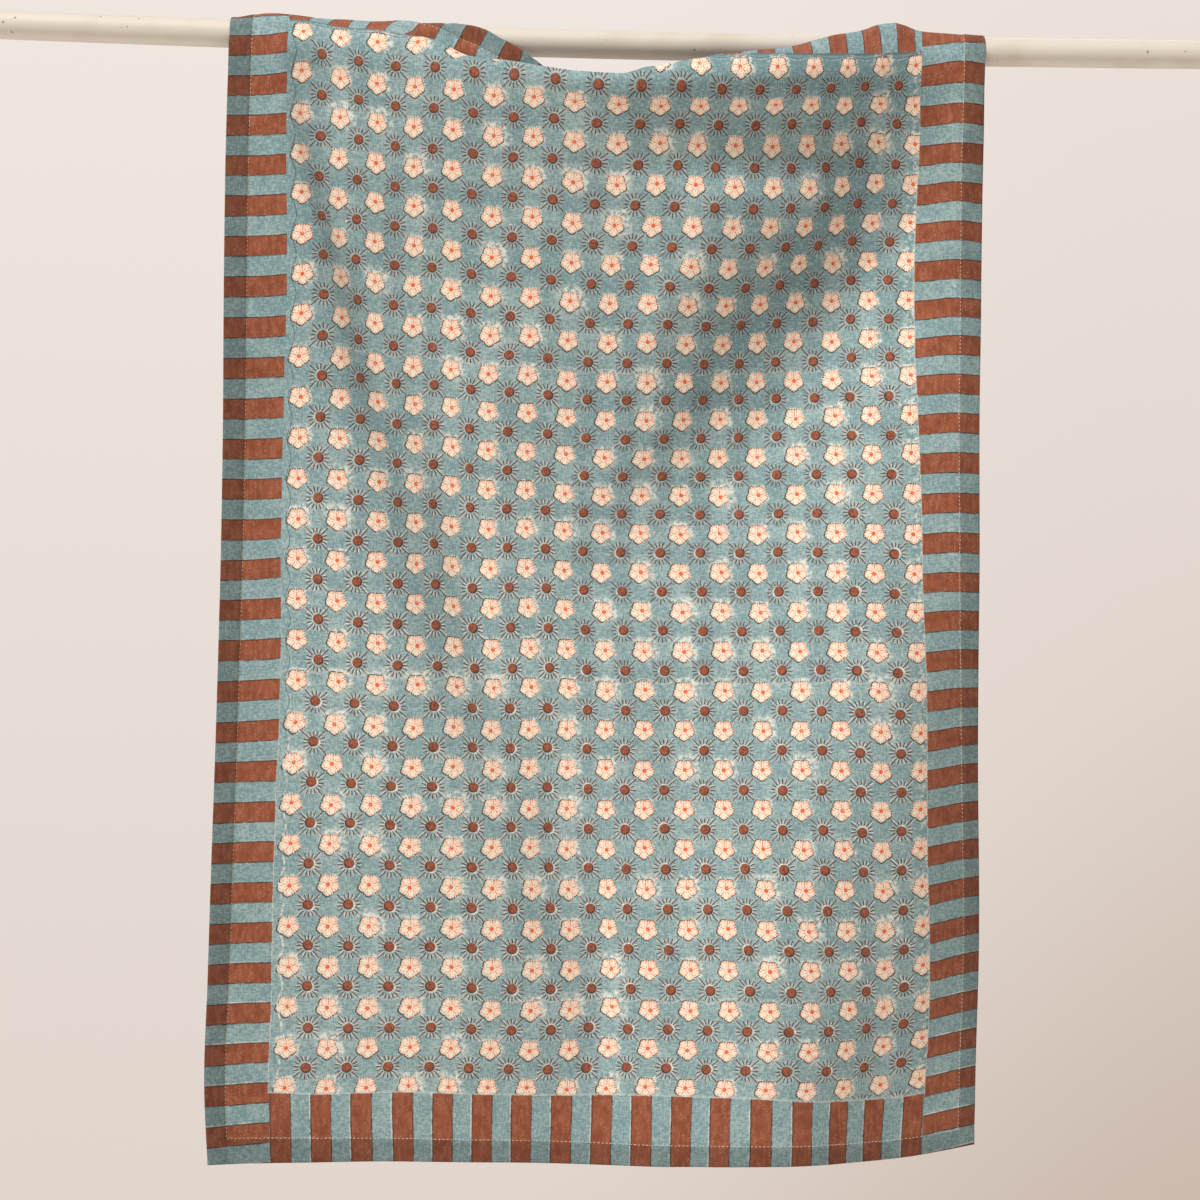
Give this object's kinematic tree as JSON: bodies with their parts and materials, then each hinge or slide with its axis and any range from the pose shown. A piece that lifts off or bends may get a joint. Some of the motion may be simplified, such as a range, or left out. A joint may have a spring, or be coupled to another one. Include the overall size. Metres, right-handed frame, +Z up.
{
  "type": "tea towel hung over a rod",
  "caption": "Rectangular cotton tea towel with turned hems and a block-printed front, hung over a plain round rod with its top edge sagging forward into a fold.",
  "frame": {"origin": "on the straight line between the centres of the rod's two end faces, at its middle", "axes": "+X along the rod to the right as seen from the front, -Y out of the printed front, +Z up"},
  "size_m": [0.84, 0.063, 0.7397],
  "materials": {
    "cloth": "matt plain-weave cotton, block printed",
    "rod_paint": "matt cream paint, lightly worn"
  },
  "bodies": {
    "root": {"towel": "cloth", "rod": "rod_paint"}
  },
  "joints": []
}
